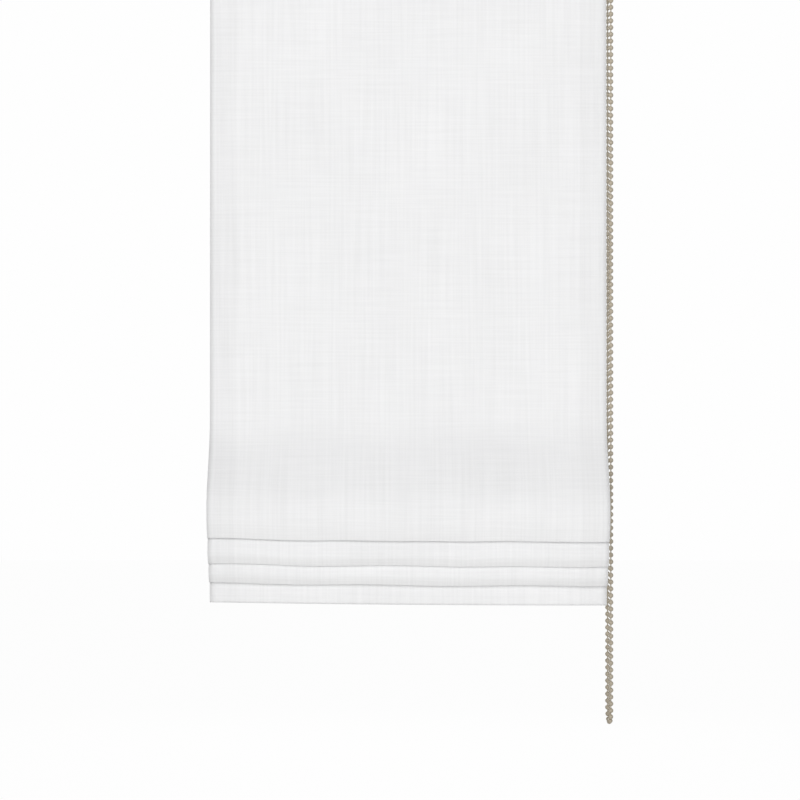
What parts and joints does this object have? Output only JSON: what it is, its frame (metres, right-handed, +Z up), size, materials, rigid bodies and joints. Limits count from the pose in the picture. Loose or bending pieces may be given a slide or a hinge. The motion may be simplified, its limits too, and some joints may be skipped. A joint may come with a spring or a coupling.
{
  "type": "roman blind",
  "caption": "Roman blind of plain linen-weave cloth, half raised into nested horizontal folds, on a clip-on headrail with a bead-chain drive.",
  "frame": {"origin": "midway between the two bracket screw holes, on the plane the brackets are screwed to", "axes": "+X along the headrail towards the chain, -Y to the room side, +Z up"},
  "size_m": [0.3625, 0.0666, 0.6996],
  "materials": {
    "cloth": "plain linen weave",
    "tape": "woven tape",
    "rail": "white powder coat",
    "bracket": "zinc plated",
    "moulding": "satin moulded",
    "steel": "bright",
    "rod": "pultruded glass fibre",
    "clear": "natural nylon",
    "cord": "braided cord",
    "chain": "matte moulded beads"
  },
  "bodies": {
    "headrail": {"headrail": "rail", "hook_tape": "tape", "loop_tape": "tape", "bracket_left": "bracket", "bracket_right": "bracket", "end_cap": "moulding", "drive_housing": "moulding", "drive_cover": "moulding", "cover_screws": "steel", "brake_spring": "steel", "drum_cradle_left": "moulding", "drum_cradle_right": "moulding", "lift_cord_left": "cord", "lift_cord_right": "cord", "blind_cloth": "cloth", "bead_chain": "chain"},
    "drive": {"idle_bush": "moulding", "drive_shaft": "rail", "cord_drum_left": "moulding", "cord_drum_right": "moulding", "cord_winding_left": "cord", "cord_winding_right": "cord", "chain_wheel": "moulding", "shaft_coupler": "moulding"},
    "upper_rod_1": {"rod_1": "rod", "rod_pocket_1": "tape", "cord_rings_1": "clear"},
    "upper_rod_2": {"rod_2": "rod", "rod_pocket_2": "tape", "cord_rings_2": "clear"},
    "upper_rod_3": {"rod_3": "rod", "rod_pocket_3": "tape", "cord_rings_3": "clear"},
    "stack": {"rod_4": "rod", "rod_pocket_4": "tape", "cord_rings_4": "clear", "rod_5": "rod", "rod_pocket_5": "tape", "cord_rings_5": "clear", "rod_6": "rod", "rod_pocket_6": "tape", "cord_rings_6": "clear", "cord_locks": "clear", "bottom_bar": "rail"}
  },
  "joints": [
    {"name": "lift", "type": "slide", "parent": "headrail", "child": "stack", "axis": [0, 0, 1], "range_m": [-0.46, 0.378], "deforming": ["blind_cloth", "lift_cord_left", "lift_cord_right"]},
    {"name": "shaft_turn", "type": "hinge", "parent": "headrail", "child": "drive", "pos_m": [0, 0, -0.0261], "axis": [1, 0, 0], "range_deg": [-2710, 3297], "deforming": ["bead_chain"]},
    {"name": "upper_rod_1_rise", "type": "slide", "parent": "headrail", "child": "upper_rod_1", "axis": [0, 0, 1], "range_m": [-0.0679, 0.056]},
    {"name": "upper_rod_2_rise", "type": "slide", "parent": "headrail", "child": "upper_rod_2", "axis": [0, 0, 1], "range_m": [-0.2541, 0.209]},
    {"name": "upper_rod_3_rise", "type": "slide", "parent": "headrail", "child": "upper_rod_3", "axis": [0, 0, 1], "range_m": [-0.4403, 0.362]}
  ],
  "couplings": [
    {"joint": "shaft_turn", "follows": "lift", "rad_per_m": -125},
    {"joint": "upper_rod_1_rise", "follows": "lift", "ratio": 0.1455},
    {"joint": "upper_rod_2_rise", "follows": "lift", "ratio": 0.55026},
    {"joint": "upper_rod_3_rise", "follows": "lift", "ratio": 0.95503}
  ]
}
